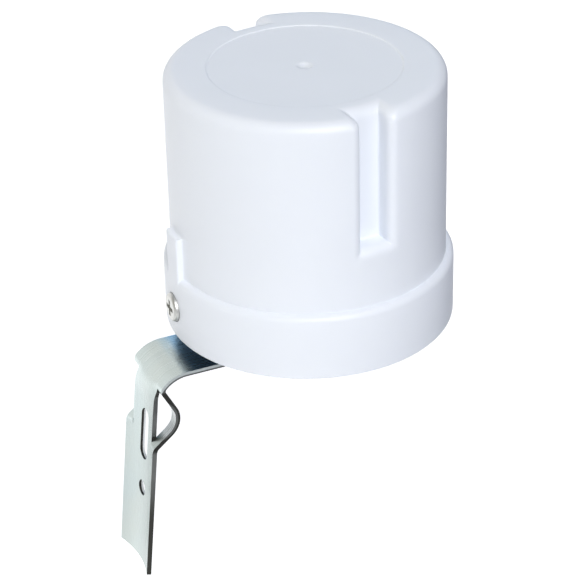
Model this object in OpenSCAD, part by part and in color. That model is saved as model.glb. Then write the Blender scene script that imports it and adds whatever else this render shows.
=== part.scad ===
// Photocell switch: a white cap over a round base, on a bent strip bracket.
// Millimetres, +Z up. The origin is the centre of the bracket's round hole,
// on the face that meets the pole, and the bracket's leg lies towards -X.

/* [Cap] */
// Outer radius of the cap's wall
cap_r = 35; // [34:0.5:45]
// Height of the cap above the skirt's lower edge
cap_h = 68; // [62:1:90]
// Wall of the cap
cap_wall = 2; // [1.6:0.1:2.4]
// Rounding of the cap's top edge
cap_edge_r = 3; // [2.6:0.1:4.5]
// How far the skirt stands out from the cap's wall
skirt_step = 2; // [1.2:0.1:4]
// Height of the skirt
skirt_h = 17.6; // [16.8:0.2:22]
// Rounding of the skirt's shoulder
shoulder_r = 1.8; // [0.5:0.1:2.5]
// Rounding of the skirt's lower edge
foot_r = 0.8; // [0.2:0.1:1.5]
// Radius of the shallow disc sunk in the cap's top
top_disc_r = 24.2; // [15:0.2:26]
// Depth of that disc
top_disc_d = 0.3; // [0.2:0.1:0.7]
// Radius of the moulding dimple in the middle of the top
dimple_r = 2; // [1:0.1:4]
// Depth of the moulding dimple
dimple_d = 0.7; // [0.3:0.05:0.8]

/* [Grip grooves] */
// Width of a grip groove
grip_w = 7.4; // [6:0.2:16]
// Depth of a grip groove
grip_depth = 5.6; // [3:0.1:6]
// Height of a groove's floor above the skirt's lower edge
grip_z = 33.2; // [30:0.2:50]
// Turn of the grooves from square to the bracket, in degrees
grip_turn = 4.3; // [-20:0.1:20]
// Rounding of a groove's long edges
grip_lip_r = 2.5; // [0.5:0.1:3]

/* [Side screws and ribs] */
// Height of the side screws above the skirt's lower edge
side_screw_z = 8.3; // [8:0.1:8.8]
// Turn of the side screws from the bracket, in degrees
screw_turn = -2; // [-15:0.5:15]
// Radius of a side screw's shank
side_screw_r = 1.7; // [1.2:0.05:2]
// Length of a side screw under its head
side_screw_len = 9; // [6:0.5:9.5]
// Radius of a side screw's head
side_head_r = 3.7; // [3:0.1:4.2]
// Height of a side screw's head
side_head_h = 1.9; // [1.2:0.1:2.6]
// Depth of the flat seat cut for the head
side_seat_d = 0.8; // [0.6:0.1:1.2]
// Width of the rib over a side screw
rib_w = 7.2; // [4:0.1:10]
// Height of the rib's top above the skirt's lower edge
rib_z = 29; // [24:0.2:32]
// Rounding of the rib's top
rib_edge_r = 1; // [0.3:0.1:1.1]

/* [Base] */
// Height of the base plate's underside above the skirt's lower edge
base_rise = 0.8; // [0.4:0.1:1.2]
// Thickness of the base plate
base_t = 2.5; // [2:0.1:3]
// Wall of the base's rim
rim_t = 2; // [1.6:0.1:2.6]
// Radius of the boss that carries the bracket
boss_r = 15; // [13:0.5:16]
// Reach of a screw post in from the rim
post_len = 9; // [8:0.5:10]
// Half width of a screw post
post_half = 4.2; // [3.5:0.1:5]
// Thickness of the seal ring
seal_t = 2; // [1.5:0.1:2.4]

/* [Bracket] */
// Width of the bracket's strip
strip_w = 18.6; // [17:0.2:24]
// Thickness of the strip
strip_t = 1.2; // [0.9:0.1:1.6]
// Gap between the skirt's lower edge and the strip
bracket_drop = 4.8; // [3:0.1:8]
// Length of the strip past the housing's axis
tail_len = 13; // [12.5:0.5:16]
// Distance from the housing's axis to the bend
bend_start = 38.2; // [34:0.2:50]
// Outer radius of the bend
bend_r = 9.3; // [8.6:0.1:12]
// Outward lean of the leg, in degrees
leg_lean = 5.6; // [0:0.2:12]
// Length of the leg below the bend
leg_len = 50; // [40:0.5:80]
// Depth of the trough along the leg
trough_d = 1.5; // [0.8:0.1:2.5]
// Length of leg over which the trough deepens
trough_run = 5; // [4:0.2:8]
// Width of a strap bridge
bridge_w = 2.9; // [2:0.1:3.6]
// How far a strap bridge bows back from the leg
bridge_d = 6; // [5:0.1:8]
// Distance of the bridge's belly below the bend
bridge_l = 4.2; // [3.8:0.1:6]
// Inner radius of the bridge's belly
belly_r = 5.1; // [3:0.1:5.5]
// Slope of the bridge's upper limb, in degrees
upper_slope = 33.6; // [26:0.2:38]
// Slope of the bridge's lower limb, in degrees
lower_slope = 45.5; // [38:0.5:55]
// Width of the bolt slot
slot_w = 4.7; // [3.5:0.1:5.5]
// Length of the bolt slot, end to end
slot_len = 14.8; // [10:0.2:16]
// Distance of the slot's top below the bend
slot_l = 5.4; // [5:0.2:8]
// Radius of the round hole
hole_r = 2.1; // [1.6:0.05:3]
// Distance of the round hole below the bend
hole_l = 29; // [26:0.5:36]

/* [Bracket screws] */
// Half the spacing of the bracket's screws
bracket_screw_x = 7.5; // [6:0.5:8]
// Radius of a bracket screw's shank
bracket_screw_r = 1.9; // [1.5:0.05:2.2]
// Length of a bracket screw under its head
bracket_screw_len = 8.6; // [6:0.2:8.8]
// Radius of a bracket screw's head
bracket_head_r = 3.7; // [3:0.1:4.4]
// Height of a bracket screw's head
bracket_head_h = 2.3; // [1.6:0.1:3]
// Outer radius of a washer
washer_r = 4.4; // [4:0.1:5]
// Thickness of a washer
washer_t = 0.8; // [0.5:0.1:1.2]

/* [Wire inlet] */
// Distance of the inlet from the housing's axis
inlet_y = 23; // [22.5:0.5:25]
// Bore of the inlet grommet
inlet_r = 3.6; // [2.5:0.1:4]
// Wall of the grommet's neck
grommet_wall = 1.3; // [1:0.1:1.5]
// Width of the grommet's lips past its neck
grommet_lip = 1.6; // [1:0.1:2]
// Thickness of the grommet's lips
grommet_lip_t = 1.3; // [0.8:0.1:2]

/* [Circuit board] */
// Radius of the circuit board
board_r = 28; // [28:0.2:30]
// Thickness of the circuit board
board_t = 1.6; // [1:0.1:2]
// Gap between the screw posts and the leads' ends
board_lift = 0.4; // [0.2:0.1:1.5]
// Place of a board screw along X and Y
board_screw_xy = 17; // [16.5:0.1:17.5]
// Radius of a stand-off
standoff_r = 3; // [2.4:0.1:3.2]
// Radius of a board screw's shank
board_screw_r = 1.3; // [0.9:0.05:1.5]
// Length of a board screw under its head
board_screw_len = 7; // [5:0.5:9]
// Radius of a board screw's head
board_head_r = 2.7; // [2.2:0.1:3]
// Height of a board screw's head
board_head_h = 1.7; // [1:0.1:2]
// Length of the leads below the board
lead_stub = 1.3; // [1:0.1:2.5]
// Height of a solder fillet
solder_h = 0.9; // [0.5:0.1:1]

/* [Components] */
// Length, width and height of the relay
relay_size = [19, 15.5, 15.5]; // [10:0.5:20]
// Length, width and height of the film capacitor
film_size = [18, 8, 14]; // [5:0.5:20]
// Radius of the smoothing capacitor
can_r = 5; // [4:0.1:5.4]
// Height of the smoothing capacitor
can_h = 16; // [10:0.5:20]
// Radius of the varistor's disc
varistor_r = 5; // [3.5:0.1:5.2]
// Thickness of the varistor's disc
varistor_t = 4; // [3:0.1:4.4]
// Radius of a rectifier diode's body
diode_r = 1.35; // [1:0.05:1.4]
// Length of a rectifier diode's body
diode_len = 5.2; // [4:0.1:6]
// Radius of the light sensor
sensor_r = 5.5; // [4:0.1:5.8]
// Thickness of the light sensor
sensor_t = 2.6; // [2:0.1:4]
// Height of the sensor's seat above the board
sensor_h = 34; // [22:0.5:40]

/* [Clearances] */
// Side clearance of pieces that slip together
slip = 0.2; // [0.1:0.05:0.3]
// Side clearance of a screw in the hole it cuts
thread_gap = 0.05; // [0.03:0.01:0.1]
// Side clearance of a lead in the board
lead_gap = 0.15; // [0.1:0.01:0.2]

/* [Hidden] */
$fn = 96;
// Overshoot of a cut past the face it leaves
past = 1;

// Cap and base
skirt_r = cap_r + skirt_step;
grip_floor_r = cap_r - grip_depth;
// Small step at both ends of a grip groove's rounded edge, so that it meets the walls at clear corners
lip_step = 0.04;
bore_r = skirt_r - cap_wall;
ledge_z = skirt_h - cap_wall;
rim_r = bore_r - slip;
rim_in_r = rim_r - rim_t;
rim_z = ledge_z - seal_t;
plate_z = base_rise + base_t;
post_top = side_screw_z + post_half;
bracket_hole_d = bracket_screw_len - washer_t - strip_t + thread_gap;
screw_sides = [180, 0];

// Cross recess and rounding of a screw's head, as shares of its radius and height
cross_w_share = 0.3;
cross_len_share = 1.2;
cross_d_share = 0.55;
head_edge_share = 0.5;

// Bracket: places in a plane across the strip, outward distance then height
bend_c = [bend_start, -bracket_drop - bend_r];
leg_top = bend_c + bend_r * [cos(leg_lean), sin(leg_lean)];
leg_down = [sin(leg_lean), -cos(leg_lean)];
leg_out = [cos(leg_lean), sin(leg_lean)];
trough_r = (pow(strip_w / 2, 2) + pow(trough_d, 2)) / (2 * trough_d);
centre_w = strip_w - 2 * bridge_w;
hole_at = leg_top + hole_l * leg_down - trough_d * leg_out;

// Bend and strap bridge in the leg's own plane: outward distance then height along the leg
bend_turn = 90 - leg_lean;
bend_at = [-bend_r, 0];
bend_steps = 18;
slit_steps = 12;
belly_steps = 16;
tail_dir = [-sin(bend_turn), cos(bend_turn)];
belly_at = [belly_r - bridge_d, -bridge_l];
belly_from = 180 - upper_slope;
belly_to = 180 + lower_slope;
upper_dir = [sin(upper_slope), cos(upper_slope)];
upper_from = belly_at + belly_r * [cos(belly_from), sin(belly_from)] - bend_at;
upper_half = upper_from * upper_dir;
upper_len = -upper_half + sqrt(pow(upper_half, 2) - upper_from * upper_from + pow(bend_r, 2));
upper_end = upper_from + upper_len * upper_dir;
slit_angle = atan2(upper_end[1], upper_end[0]);
slit_end = bend_at + bend_r * [cos(slit_angle), sin(slit_angle)];
bridge_v = (strip_w - bridge_w) / 2;
bridge_sink = trough_d * (1 - pow(2 * bridge_v / strip_w, 2));
lower_len = (belly_r * cos(lower_slope) - belly_at[0] - bridge_sink) / sin(lower_slope);
slit_l = bridge_l + belly_r * sin(lower_slope) + lower_len * cos(lower_slope);
trough_from = 0.4;
trough_step = 0.12;
trough_slope = atan2(trough_d - trough_step, trough_run - trough_from);
through = trough_d + strip_t + past;

// Board and components: height of the board's faces, then lead places on the board
board_z = post_top + board_lift + lead_stub;
board_top = board_z + board_t;
standoffs = [for (x = [-1, 1], y = [-1, 1]) board_screw_xy * [x, y]];
lead_r = 0.4;
fine_lead_r = 0.25;
solder_spread = 2.3;
relay_at = [-14.5, 0];
relay_lead_at = [[-7, -6], [-7, 6], [5, 0], [7, -6], [7, 6]];
relay_leads = [for (p = relay_lead_at) relay_at + p];
film_at = [3, -14];
film_pitch = 15;
can_at = [3, 13.5];
can_edge_r = 0.6;
can_pitch = 5;
varistor_at = [-8, 15];
varistor_lift = 1.2;
varistor_pitch = 5;
diode_pitch = 10;
diode_x = 19;
diode_gap = 3.5;
diode_at = [for (row = [0 : 3]) [diode_x, row * diode_gap]];
zener_at = [19, -4];
zener_r = 0.95;
zener_len = 3.8;
transistor_at = [20, -9.5];
transistor_r = 2.4;
transistor_h = 4.8;
transistor_lift = 2;
transistor_pitch = 1.27;
transistor_leads = [for (x = [-1, 0, 1]) transistor_at + [x * transistor_pitch, 0]];
dropper_at = [0, -22];
dropper_r = 1.9;
dropper_len = 10;
dropper_pitch = 15;
bleed_at = [0, 21.5];
bleed_r = 1.2;
bleed_len = 6.3;
small_pitch = 10;
base_resistor_at = [-12, -11.8];
axial_lift = 0.5;
holder_at = [4, 0];
sensor_pitch = 3;
sensor_leads = [for (y = [-0.5, 0.5]) holder_at + [0, y * sensor_pitch]];
post_at = [[-6, 24.6], [0, 25.6], [6, 24.6]];
post_r = 0.8;
post_drop = 5;
post_flange = [1.6, 0.6];
post_head = [1.3, 0.5];

function lead_pair(at, pitch) = [at - [pitch / 2, 0], at + [pitch / 2, 0]];

film_leads = lead_pair(film_at, film_pitch);
can_leads = lead_pair(can_at, can_pitch);
varistor_leads = lead_pair(varistor_at, varistor_pitch);
diode_leads = [for (at = diode_at) each lead_pair(at, diode_pitch)];
thick_leads = concat(
    relay_leads, film_leads, can_leads, varistor_leads, diode_leads,
    lead_pair(zener_at, small_pitch), lead_pair(dropper_at, dropper_pitch),
    lead_pair(bleed_at, small_pitch), lead_pair(base_resistor_at, small_pitch), sensor_leads
);

// Moves a piece from the housing's frame, with its axis on Z, to the part's frame
module placed() {
    translate([hole_at[0], 0, -hole_at[1]]) children();
}

// Half section of a plain block with a rounded upper edge
module rounded_block(r, h, edge) {
    square([r - edge, h]);
    square([r, h - edge]);
    translate([r - edge, h - edge]) circle(edge);
}

// Points along an arc
function arc(centre, r, from, to, steps) = [
    for (i = [0 : steps])
        let (a = from + (to - from) * i / steps)
            centre + r * [cos(a), sin(a)]
];

// Screw pointing along +Z from its head's seat at z = 0, with a cross recess
module cross_screw(shank_r, shank_len, head_r, head_h) {
    cross_w = head_r * cross_w_share;
    cross_len = head_r * cross_len_share;
    cross_d = head_h * cross_d_share;
    cylinder(r = shank_r, h = shank_len);
    difference() {
        mirror([0, 0, 1]) rotate_extrude() rounded_block(head_r, head_h, head_h * head_edge_share);
        for (turn = [0, 90]) {
            rotate(turn)
                translate([-cross_len / 2, -cross_w / 2, -head_h - past])
                    cube([cross_len, cross_w, cross_d + past]);
        }
    }
}

// Faces a piece along the line of each side screw, outwards along +X
module at_side_screws() {
    for (side = screw_sides) {
        rotate(side + screw_turn) children();
    }
}

// Space of the grip grooves, grown on its sides and floor
module grip_grooves(grow) {
    for (side = [-90, 90]) {
        rotate(side + grip_turn)
            translate([0, -grip_w / 2 - grow, grip_z - grow])
                cube([cap_r + past, grip_w + 2 * grow, cap_h]);
    }
}

// What rounding takes off the long edges of the grip grooves
module grip_lips() {
    lip_reach = cap_r - grip_lip_r - lip_step;
    lip_y = grip_w / 2 + grip_lip_r + lip_step;
    lip_x = sqrt(pow(lip_reach, 2) - pow(lip_y, 2));
    out = cap_r + past;
    for (side = [-90, 90], hand = [0, 1]) {
        rotate(side + grip_turn)
            mirror([0, hand, 0])
                translate([0, 0, grip_z])
                    linear_extrude(cap_h)
                        difference() {
                            polygon([
                                [lip_x, 0],
                                [out, 0],
                                out / lip_reach * [lip_x, lip_y],
                                [lip_x, lip_y]
                            ]);
                            translate([lip_x, lip_y]) circle(grip_lip_r);
                        }
    }
}

// Cap's body with its grooves, drawn in from every face
module cap_form(inset) {
    edge = cap_edge_r - inset;
    difference() {
        rotate_extrude() rounded_block(cap_r - inset, cap_h - inset, edge);
        grip_grooves(inset);
    }
    rotate_extrude() rounded_block(grip_floor_r - inset, cap_h - inset, edge);
}

// Skirt with rounded edges above and below
module skirt_form() {
    rotate_extrude() {
        translate([0, foot_r]) rounded_block(skirt_r, skirt_h - foot_r, shoulder_r);
        square([skirt_r - foot_r, skirt_h / 2]);
        translate([skirt_r - foot_r, foot_r]) circle(foot_r);
    }
}

// Ribs on the cap's wall over the side screws, level with the skirt
module cap_ribs() {
    root_r = cap_r - cap_wall / 2;
    intersection() {
        rotate_extrude()
            difference() {
                rounded_block(skirt_r, rib_z, rib_edge_r);
                square([root_r, rib_z]);
                square([skirt_r, skirt_h / 2]);
            }
        at_side_screws() translate([0, -rib_w / 2, 0]) cube([skirt_r + past, rib_w, rib_z]);
    }
}

module cap() {
    dimple_ball = (pow(dimple_r, 2) + pow(dimple_d, 2)) / (2 * dimple_d);
    top_z = cap_h - top_disc_d;
    color([0.93, 0.95, 0.98])
    placed()
        difference() {
            union() {
                difference() {
                    cap_form(0);
                    grip_lips();
                }
                skirt_form();
                cap_ribs();
            }
            cap_form(cap_wall);
            translate([0, 0, -past]) cylinder(r = bore_r, h = ledge_z + past);
            translate([0, 0, top_z]) cylinder(r = top_disc_r, h = cap_h);
            translate([0, 0, top_z + dimple_ball - dimple_d]) sphere(dimple_ball);
            at_side_screws()
                translate([0, 0, side_screw_z])
                    rotate([0, 90, 0]) {
                        cylinder(r = side_screw_r + slip, h = skirt_r + past);
                        translate([0, 0, skirt_r - side_seat_d])
                            cylinder(r = side_head_r + slip, h = cap_r);
                    }
        }
}

module base() {
    color([0.13, 0.13, 0.14])
    placed()
        difference() {
            union() {
                translate([0, 0, base_rise]) cylinder(r = rim_r, h = base_t);
                rotate_extrude() translate([rim_in_r, base_rise]) square([rim_t, rim_z - base_rise]);
                translate([0, 0, -bracket_drop]) cylinder(r = boss_r, h = bracket_drop + plate_z);
                intersection() {
                    cylinder(r = rim_r, h = post_top);
                    at_side_screws()
                        translate([rim_in_r - post_len, -post_half, base_rise])
                            cube([post_len + rim_t, 2 * post_half, post_top - base_rise]);
                }
                for (at = standoffs) {
                    translate([at[0], at[1], base_rise]) cylinder(r = standoff_r, h = board_z - base_rise);
                }
            }
            at_side_screws()
                translate([0, 0, side_screw_z])
                    rotate([0, 90, 0])
                        translate([0, 0, skirt_r - side_seat_d - side_screw_len - past])
                            cylinder(r = side_screw_r + thread_gap, h = skirt_r);
            for (at = standoffs) {
                translate([at[0], at[1], board_top - board_screw_len - past])
                    cylinder(r = board_screw_r + thread_gap, h = board_screw_len + past);
            }
            for (x = [-1, 1] * bracket_screw_x) {
                translate([x, 0, -bracket_drop - past])
                    cylinder(r = bracket_screw_r + thread_gap, h = bracket_hole_d + past);
            }
            translate([0, inlet_y, base_rise - past])
                cylinder(r = inlet_r + grommet_wall + slip, h = base_t + 2 * past);
        }
}

module seal_ring() {
    color([0.2, 0.2, 0.2])
    placed()
        rotate_extrude() translate([rim_in_r, rim_z]) square([rim_t, seal_t]);
}

module side_screws() {
    color([0.72, 0.73, 0.74])
    placed()
        at_side_screws()
            translate([skirt_r - side_seat_d, 0, side_screw_z])
                rotate([0, -90, 0])
                    cross_screw(side_screw_r, side_screw_len, side_head_r, side_head_h);
}

// Turns the plane across the strip upright, outward along +X, and gives it a width
module across_strip(w) {
    rotate([90, 0, 0]) linear_extrude(w, center = true) children();
}

// Puts a piece in the leg's own frame: +X out of the leg's face, Z along the leg
module on_leg() {
    translate([leg_top[0], 0, leg_top[1]]) rotate([0, -leg_lean, 0]) children();
}

// Line along the tail and the bend at a radius, as far as the slits
function bend_line(r) =
    let (bend = arc(bend_at, r, bend_turn, slit_angle, bend_steps))
        concat([bend[0] + (tail_len + bend_start) * tail_dir], bend);

// The same line carried on to the end of the bend and down the leg
function leg_line(r) =
    concat(
        bend_line(r),
        arc(bend_at, r, slit_angle * (1 - 1 / slit_steps), 0, slit_steps - 1),
        [[r - bend_r, -trough_run]]
    );

// Sheet between a line on its face and one on its back
module sheet_section(face, back) {
    last = len(back) - 1;
    polygon(concat(face, [for (i = [0 : last]) back[last - i]]));
}

// Section of a strap bridge: two straight limbs and a round belly between them
module bridge_section() {
    back = strip_t * [cos(belly_from), sin(belly_from)];
    face = arc(belly_at, belly_r, belly_from, belly_to, belly_steps);
    rear = arc(belly_at, belly_r + strip_t, belly_from, belly_to, belly_steps);
    lower = lower_len * [sin(lower_slope), -cos(lower_slope)];
    sheet_section(
        concat([slit_end], face, [face[belly_steps] + lower]),
        concat([slit_end + back], rear, [rear[belly_steps] + lower])
    );
}

// Middle of the strip from its tail to where the trough has its full depth
module trough_start() {
    difference() {
        union() {
            across_strip(centre_w) sheet_section(leg_line(bend_r), leg_line(bend_r - strip_t));
            intersection() {
                translate([-through, -centre_w / 2, -trough_run])
                    cube([through, centre_w, trough_run]);
                trough_roller(trough_r + strip_t * cos(trough_slope));
            }
        }
        trough_roller(trough_r);
    }
}

// Cylinder whose lowest line slopes into the leg from just below the bend
module trough_roller(r) {
    translate([0, 0, -trough_from])
        rotate([0, trough_slope, 0])
            translate([trough_r, 0, -2 * trough_run])
                cylinder(r = r, h = 4 * trough_run, $fn = 180);
}

// Length of leg with the pressed trough, between two distances below the bend
module trough_leg(w, from, to) {
    translate([0, 0, -to])
        linear_extrude(to - from)
            intersection() {
                translate([trough_r - trough_d, 0])
                    difference() {
                        circle(trough_r + strip_t, $fn = 180);
                        circle(trough_r, $fn = 180);
                    }
                translate([-through, -w / 2]) square([through + past, w]);
            }
}

// Round hole and bolt slot, cut square to the leg
module leg_holes() {
    slot_ends = [slot_l + slot_w / 2, slot_l + slot_len - slot_w / 2];
    rotate([0, 90, 0])
        translate([0, 0, -through]) {
            translate([hole_l, 0, 0]) cylinder(r = hole_r, h = through + past);
            for (end = slot_ends) {
                translate([end, 0, 0]) cylinder(r = slot_w / 2, h = through + past);
            }
            translate([slot_ends[0], -slot_w / 2, 0])
                cube([slot_ends[1] - slot_ends[0], slot_w, through + past]);
        }
}

module bracket() {
    color([0.78, 0.82, 0.82])
    placed()
        mirror([1, 0, 0])
            difference() {
                on_leg() {
                    across_strip(strip_w) sheet_section(bend_line(bend_r), bend_line(bend_r - strip_t));
                    for (hand = [-1, 1]) {
                        translate([0, hand * bridge_v, 0]) across_strip(bridge_w) bridge_section();
                    }
                    trough_start();
                    trough_leg(centre_w, trough_run, slit_l);
                    trough_leg(strip_w, slit_l, leg_len);
                }
                on_leg() leg_holes();
                for (x = [-1, 1] * bracket_screw_x) {
                    translate([x, 0, -bracket_drop - strip_t - past])
                        cylinder(r = bracket_screw_r + slip, h = strip_t + 2 * past);
                }
            }
}

// Lines a piece up with each bracket screw, at the underside of the strip
module at_bracket_screws() {
    for (x = [-1, 1] * bracket_screw_x) {
        translate([x, 0, -bracket_drop - strip_t]) children();
    }
}

module bracket_screws() {
    color([0.7, 0.71, 0.72])
    placed()
        at_bracket_screws()
            translate([0, 0, -washer_t])
                cross_screw(bracket_screw_r, bracket_screw_len, bracket_head_r, bracket_head_h);
}

module bracket_washers() {
    color([0.75, 0.76, 0.77])
    placed()
        at_bracket_screws()
            translate([0, 0, -washer_t])
                difference() {
                    cylinder(r = washer_r, h = washer_t);
                    translate([0, 0, -past]) cylinder(r = bracket_screw_r + slip, h = washer_t + 2 * past);
                }
}

module wire_grommet() {
    neck_r = inlet_r + grommet_wall;
    lip_r = neck_r + grommet_lip;
    color([0.1, 0.1, 0.1])
    placed()
        translate([0, inlet_y, 0])
            rotate_extrude() {
                translate([inlet_r, base_rise - grommet_lip_t])
                    square([grommet_wall, base_t + 2 * grommet_lip_t]);
                translate([inlet_r, base_rise - grommet_lip_t])
                    square([lip_r - inlet_r, grommet_lip_t]);
                translate([inlet_r, plate_z]) square([lip_r - inlet_r, grommet_lip_t]);
            }
}

module circuit_board() {
    color([0.16, 0.42, 0.22])
    placed()
        translate([0, 0, board_z])
            difference() {
                cylinder(r = board_r, h = board_t);
                for (at = standoffs) {
                    board_hole(at, board_screw_r + slip);
                }
                for (at = thick_leads) {
                    board_hole(at, lead_r + lead_gap);
                }
                for (at = transistor_leads) {
                    board_hole(at, fine_lead_r + lead_gap);
                }
                for (at = post_at) {
                    board_hole(at, post_r + lead_gap);
                }
            }
}

module board_hole(at, r) {
    translate([at[0], at[1], -past]) cylinder(r = r, h = board_t + 2 * past);
}

module board_screws() {
    color([0.75, 0.75, 0.72])
    placed()
        for (at = standoffs) {
            translate([at[0], at[1], board_top])
                mirror([0, 0, 1])
                    cross_screw(board_screw_r, board_screw_len, board_head_r, board_head_h);
        }
}

// Leads through the board, each with a solder fillet under it
module leads(places, r, top) {
    for (at = places) {
        translate([at[0], at[1], board_z - lead_stub]) cylinder(r = r, h = top - board_z + lead_stub);
        translate([at[0], at[1], board_z - solder_h]) cylinder(r1 = r, r2 = r * solder_spread, h = solder_h);
    }
}

// Body lying along X on bent leads
module axial_part(at, body_r, body_len, pitch) {
    axis_z = board_top + axial_lift + body_r;
    leads(lead_pair(at, pitch), lead_r, axis_z);
    translate([at[0], at[1], axis_z])
        rotate([0, 90, 0]) {
            translate([0, 0, -body_len / 2]) cylinder(r = body_r, h = body_len);
            translate([0, 0, -pitch / 2]) cylinder(r = lead_r, h = pitch);
        }
    for (end = lead_pair(at, pitch)) {
        translate([end[0], end[1], axis_z]) sphere(lead_r);
    }
}

// Box standing on the board, centred on its place
module board_box(at, size) {
    translate([at[0] - size[0] / 2, at[1] - size[1] / 2, board_top]) cube(size);
}

module relay() {
    color([0.12, 0.32, 0.6])
    placed() {
        board_box(relay_at, relay_size);
        leads(relay_leads, lead_r, board_top + lead_r);
    }
}

module film_capacitor() {
    color([0.85, 0.7, 0.15])
    placed() {
        board_box(film_at, film_size);
        leads(film_leads, lead_r, board_top + lead_r);
    }
}

module smoothing_capacitor() {
    color([0.15, 0.16, 0.22])
    placed() {
        translate([can_at[0], can_at[1], board_top])
            rotate_extrude() rounded_block(can_r, can_h, can_edge_r);
        leads(can_leads, lead_r, board_top + lead_r);
    }
}

module varistor() {
    axis_z = board_top + varistor_lift + varistor_r;
    color([0.15, 0.35, 0.6])
    placed() {
        translate([varistor_at[0], varistor_at[1] + varistor_t / 2, axis_z])
            rotate([90, 0, 0]) cylinder(r = varistor_r, h = varistor_t);
        leads(varistor_leads, lead_r, axis_z);
    }
}

module rectifier_diodes() {
    color([0.1, 0.1, 0.1])
    placed()
        for (at = diode_at) {
            axial_part(at, diode_r, diode_len, diode_pitch);
        }
}

module zener_diode() {
    color([0.75, 0.4, 0.2])
    placed()
        axial_part(zener_at, zener_r, zener_len, small_pitch);
}

module switching_transistor() {
    body_z = board_top + transistor_lift;
    color([0.1, 0.1, 0.1])
    placed() {
        intersection() {
            translate([transistor_at[0], transistor_at[1], body_z])
                cylinder(r = transistor_r, h = transistor_h);
            translate([transistor_at[0] - transistor_r, transistor_at[1] - transistor_r / 2, body_z])
                cube([2 * transistor_r, 2 * transistor_r, transistor_h]);
        }
        leads(transistor_leads, fine_lead_r, body_z + fine_lead_r);
    }
}

module dropper_resistor() {
    color([0.6, 0.55, 0.45])
    placed()
        axial_part(dropper_at, dropper_r, dropper_len, dropper_pitch);
}

module bleed_resistor() {
    color([0.75, 0.65, 0.5])
    placed()
        axial_part(bleed_at, bleed_r, bleed_len, small_pitch);
}

module base_resistor() {
    color([0.75, 0.65, 0.5])
    placed()
        axial_part(base_resistor_at, bleed_r, bleed_len, small_pitch);
}

// Tube on a foot, with a cup at its top for the light sensor
module sensor_holder() {
    tube_r = sensor_pitch / 2 + lead_r + 2 * slip;
    tube_wall = 2;
    cup_wall = 1.2;
    cup_floor = 2;
    foot_t = 2;
    cup_r = sensor_r + slip + cup_wall;
    color([0.9, 0.9, 0.88])
    placed()
        translate([holder_at[0], holder_at[1], board_top])
            difference() {
                union() {
                    cylinder(r = cup_r, h = foot_t);
                    cylinder(r = tube_r + tube_wall, h = sensor_h);
                    translate([0, 0, sensor_h - cup_floor]) cylinder(r = cup_r, h = cup_floor + sensor_t / 2);
                }
                translate([0, 0, -past]) cylinder(r = tube_r, h = sensor_h + 2 * past);
                translate([0, 0, sensor_h]) cylinder(r = sensor_r + slip, h = sensor_t);
            }
}

module light_sensor() {
    seat_z = board_top + sensor_h;
    color([0.8, 0.45, 0.2])
    placed() {
        translate([holder_at[0], holder_at[1], seat_z]) cylinder(r = sensor_r, h = sensor_t);
        leads(sensor_leads, lead_r, seat_z + lead_r);
    }
}

module wire_posts() {
    color([0.8, 0.65, 0.3])
    placed()
        for (at = post_at) {
            translate([at[0], at[1], board_z - post_drop])
                cylinder(r = post_r, h = post_drop + board_t + post_head[1]);
            translate([at[0], at[1], board_z - post_flange[1]])
                cylinder(r = post_flange[0], h = post_flange[1]);
            translate([at[0], at[1], board_top]) cylinder(r = post_head[0], h = post_head[1]);
        }
}

cap();
base();
seal_ring();
side_screws();
bracket();
bracket_screws();
bracket_washers();
wire_grommet();
circuit_board();
board_screws();
relay();
film_capacitor();
smoothing_capacitor();
varistor();
rectifier_diodes();
zener_diode();
switching_transistor();
dropper_resistor();
bleed_resistor();
base_resistor();
sensor_holder();
light_sensor();
wire_posts();
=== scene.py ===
"""Photocell switch: a white cap on a bent strip bracket, in a plain white studio."""

import math
from collections import namedtuple

import bpy
from mathutils import Matrix, Vector


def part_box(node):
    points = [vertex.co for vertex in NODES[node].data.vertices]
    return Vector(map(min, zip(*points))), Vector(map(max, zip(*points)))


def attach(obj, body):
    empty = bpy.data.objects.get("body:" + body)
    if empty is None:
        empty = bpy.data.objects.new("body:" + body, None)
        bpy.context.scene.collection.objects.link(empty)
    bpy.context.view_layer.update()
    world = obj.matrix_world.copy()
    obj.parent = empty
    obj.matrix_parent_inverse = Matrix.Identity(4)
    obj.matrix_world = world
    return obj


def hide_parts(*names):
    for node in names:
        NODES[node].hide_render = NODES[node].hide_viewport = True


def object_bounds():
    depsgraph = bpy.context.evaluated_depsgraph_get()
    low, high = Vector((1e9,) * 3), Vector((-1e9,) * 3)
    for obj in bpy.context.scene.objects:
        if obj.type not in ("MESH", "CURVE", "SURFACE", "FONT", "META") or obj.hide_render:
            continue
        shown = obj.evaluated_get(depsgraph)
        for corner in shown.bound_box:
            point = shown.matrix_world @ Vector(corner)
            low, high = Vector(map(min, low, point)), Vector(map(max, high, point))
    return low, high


bl_info = {
    "name": "Photocell switch",
    "version": (1, 0, 0),
    "blender": (4, 5, 0),
    "location": "3D View > Sidebar > Photocell",
    "description": "Dresses a photocell switch with its cap, bracket, finishes and studio",
    "category": "Add Mesh",
}

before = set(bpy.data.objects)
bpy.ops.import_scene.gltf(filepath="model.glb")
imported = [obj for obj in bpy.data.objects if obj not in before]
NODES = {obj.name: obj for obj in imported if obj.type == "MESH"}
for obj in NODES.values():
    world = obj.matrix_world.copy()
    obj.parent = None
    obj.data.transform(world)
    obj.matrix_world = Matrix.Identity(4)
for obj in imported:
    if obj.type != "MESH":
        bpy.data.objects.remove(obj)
CAD_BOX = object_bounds()
BODY = "root"
MM = 0.001

CAP_LOW, CAP_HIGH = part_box("cap")
HOUSING = Vector(((CAP_LOW.x + CAP_HIGH.x) / 2, 0.0, CAP_LOW.z))
BOARD_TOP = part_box("circuit_board")[1].z

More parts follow.
